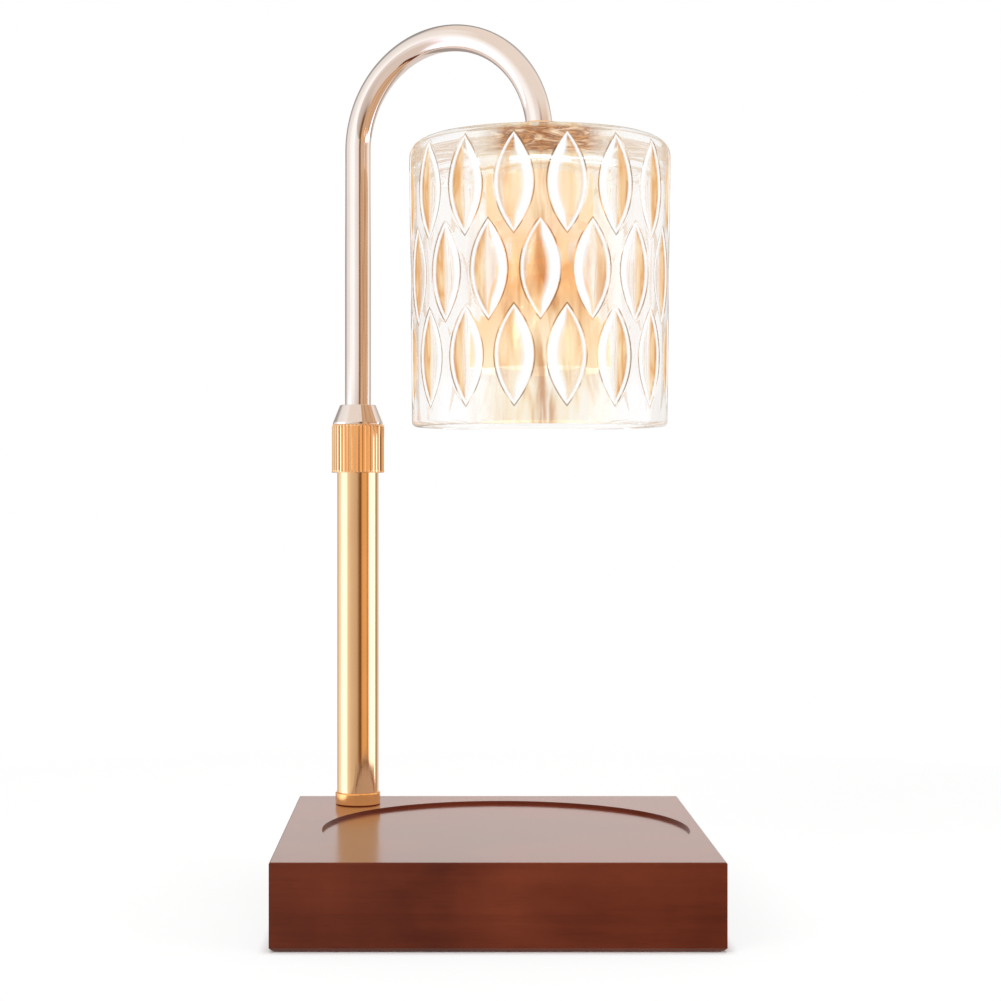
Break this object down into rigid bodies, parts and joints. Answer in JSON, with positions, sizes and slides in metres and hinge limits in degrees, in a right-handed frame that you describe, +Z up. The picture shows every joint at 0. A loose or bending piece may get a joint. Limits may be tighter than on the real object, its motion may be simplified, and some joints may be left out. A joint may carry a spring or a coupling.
{
  "type": "candle warmer lamp",
  "caption": "Candle warmer lamp: square wooden base with a round recess, telescopic column with a knurled lock nut, gooseneck arm and a cut-glass shade over a reflector bulb.",
  "frame": {"origin": "centre of the base, on the table under the foot pads", "axes": "+Z up, +X to the right and -Y to the front, where the picture is taken from"},
  "size_m": [0.15, 0.15, 0.3271],
  "materials": {
    "walnut_wood": "satin lacquer",
    "black_steel": "fine texture",
    "zinc_steel": "zinc plated",
    "pad_rubber": "matte",
    "black_plastic": "matte",
    "white_nylon": "satin",
    "plain_brass": "machined",
    "polished_gold": "polished",
    "champagne_metal": "polished",
    "cable_sheath": "satin",
    "clear_silicone": "satin",
    "clear_glass": "fire polished",
    "white_ceramic": "unglazed",
    "reflector_mirror": "vacuum coated",
    "bulb_glass": "clear"
  },
  "bodies": {
    "base": {"wood_base": "walnut_wood", "bottom_plate": "black_steel", "plate_screws": "zinc_steel", "foot_pads": "pad_rubber", "cord_grommet": "black_plastic", "terminal_block": "white_nylon", "terminal_sleeves": "plain_brass", "column_tube": "polished_gold", "foot_ring": "polished_gold", "column_plug": "plain_brass", "base_nipple": "zinc_steel", "base_washer": "zinc_steel", "base_nut": "zinc_steel", "base_lead": "cable_sheath", "column_lead": "cable_sheath", "collet_body": "plain_brass", "collet_sleeve": "white_nylon"},
    "clamp": {"clamp_ring": "zinc_steel"},
    "lock_nut": {"nut_sleeve": "polished_gold", "nut_cone": "champagne_metal"},
    "guide": {"guide_bush": "white_nylon"},
    "arm": {"arm_tube": "champagne_metal", "arm_lead": "cable_sheath", "arm_end_ring": "zinc_steel", "arm_snap_ring": "zinc_steel", "top_cap": "polished_gold", "cap_nipple": "zinc_steel", "upper_gasket": "clear_silicone", "shade_bush": "clear_silicone", "socket_cup": "polished_gold", "lock_washer": "zinc_steel", "nipple_nut": "zinc_steel", "glass_shade": "clear_glass", "holder_bracket": "zinc_steel", "holder_screws": "zinc_steel", "lamp_holder": "white_ceramic", "holder_contacts": "plain_brass", "holder_wires": "cable_sheath"},
    "bulb": {"bulb_base": "white_ceramic", "bulb_pins": "zinc_steel", "bulb_reflector": "reflector_mirror", "bulb_lens": "bulb_glass", "bulb_capsule": "bulb_glass"}
  },
  "joints": [
    {"name": "clamp_ring_lift", "type": "slide", "parent": "base", "child": "clamp", "axis": [0, 0, 1], "range_m": [0, 0.001]},
    {"name": "lock_nut_turn", "type": "hinge", "parent": "clamp", "child": "lock_nut", "pos_m": [-0.051, 0.0545, 0.166], "axis": [0, 0, 1], "range_deg": [0, 360]},
    {"name": "arm_slide", "type": "slide", "parent": "base", "child": "guide", "axis": [0, 0, 1], "range_m": [-0.075, 0.01], "deforming": ["column_lead"]},
    {"name": "arm_swivel", "type": "hinge", "parent": "guide", "child": "arm", "pos_m": [-0.051, 0.0545, 0.13], "axis": [0, 0, 1], "range_deg": [-175, 175]},
    {"name": "bulb_twist", "type": "hinge", "parent": "arm", "child": "bulb", "pos_m": [0.01759, 0.0149, 0.24], "axis": [0, 0, -1], "range_deg": [0, 20]}
  ],
  "couplings": [
    {"joint": "lock_nut_turn", "follows": "clamp_ring_lift", "rad_per_m": 6283.2}
  ]
}
